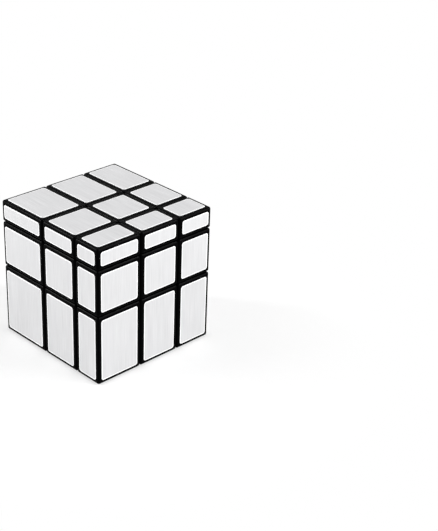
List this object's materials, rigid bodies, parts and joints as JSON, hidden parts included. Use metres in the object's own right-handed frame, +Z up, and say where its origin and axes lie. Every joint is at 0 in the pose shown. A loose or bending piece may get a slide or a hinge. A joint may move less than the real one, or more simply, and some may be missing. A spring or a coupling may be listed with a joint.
{
  "type": "mirror block cube",
  "caption": "Cube puzzle whose layers differ in thickness: hollow black blocks with brushed silver foils, held by feet and sprung hubs about a core; top and bottom layers turn.",
  "frame": {"origin": "centre of the bottom face, in the plane that the cube rests on", "axes": "+Z up towards the thinnest layer; +X towards the face with the thin side layer, the right one; +Y to the back"},
  "size_m": [0.057, 0.057, 0.057],
  "materials": {
    "black_plastic": "satin moulded",
    "silver_foil": "brushed",
    "inner_plastic": "moulded",
    "steel": "zinc plated"
  },
  "bodies": {
    "core_and_middle": {"cap_back": "black_plastic", "cap_front": "black_plastic", "cap_left": "black_plastic", "cap_right": "black_plastic", "core": "inner_plastic", "edge_back_left": "black_plastic", "edge_back_right": "black_plastic", "edge_feet_middle": "inner_plastic", "edge_front_left": "black_plastic", "edge_front_right": "black_plastic", "foils_back_middle": "silver_foil", "foils_front_middle": "silver_foil", "foils_left_middle": "silver_foil", "foils_right_middle": "silver_foil", "hub_back": "inner_plastic", "hub_front": "inner_plastic", "hub_left": "inner_plastic", "hub_right": "inner_plastic", "tension_screws": "steel", "tension_springs": "steel", "tension_washers": "steel"},
    "top_layer": {"cap_top": "black_plastic", "corner_feet_top": "inner_plastic", "corner_top_back_left": "black_plastic", "corner_top_back_right": "black_plastic", "corner_top_front_left": "black_plastic", "corner_top_front_right": "black_plastic", "edge_feet_top": "inner_plastic", "edge_top_back": "black_plastic", "edge_top_front": "black_plastic", "edge_top_left": "black_plastic", "edge_top_right": "black_plastic", "foils_back_top": "silver_foil", "foils_front_top": "silver_foil", "foils_left_top": "silver_foil", "foils_right_top": "silver_foil", "foils_top": "silver_foil", "hub_top": "inner_plastic"},
    "bottom_layer": {"cap_bottom": "black_plastic", "corner_bottom_back_left": "black_plastic", "corner_bottom_back_right": "black_plastic", "corner_bottom_front_left": "black_plastic", "corner_bottom_front_right": "black_plastic", "corner_feet_bottom": "inner_plastic", "edge_bottom_back": "black_plastic", "edge_bottom_front": "black_plastic", "edge_bottom_left": "black_plastic", "edge_bottom_right": "black_plastic", "edge_feet_bottom": "inner_plastic", "foils_back_bottom": "silver_foil", "foils_bottom": "silver_foil", "foils_front_bottom": "silver_foil", "foils_left_bottom": "silver_foil", "foils_right_bottom": "silver_foil", "hub_bottom": "inner_plastic"}
  },
  "joints": [
    {"name": "top_layer_turn", "type": "hinge", "parent": "core_and_middle", "child": "top_layer", "pos_m": [0.006, 0.002, 0.0385], "axis": [0, 0, 1], "continuous": true},
    {"name": "bottom_layer_turn", "type": "hinge", "parent": "core_and_middle", "child": "bottom_layer", "pos_m": [0.006, 0.002, 0.0385], "axis": [0, 0, 1], "continuous": true}
  ]
}
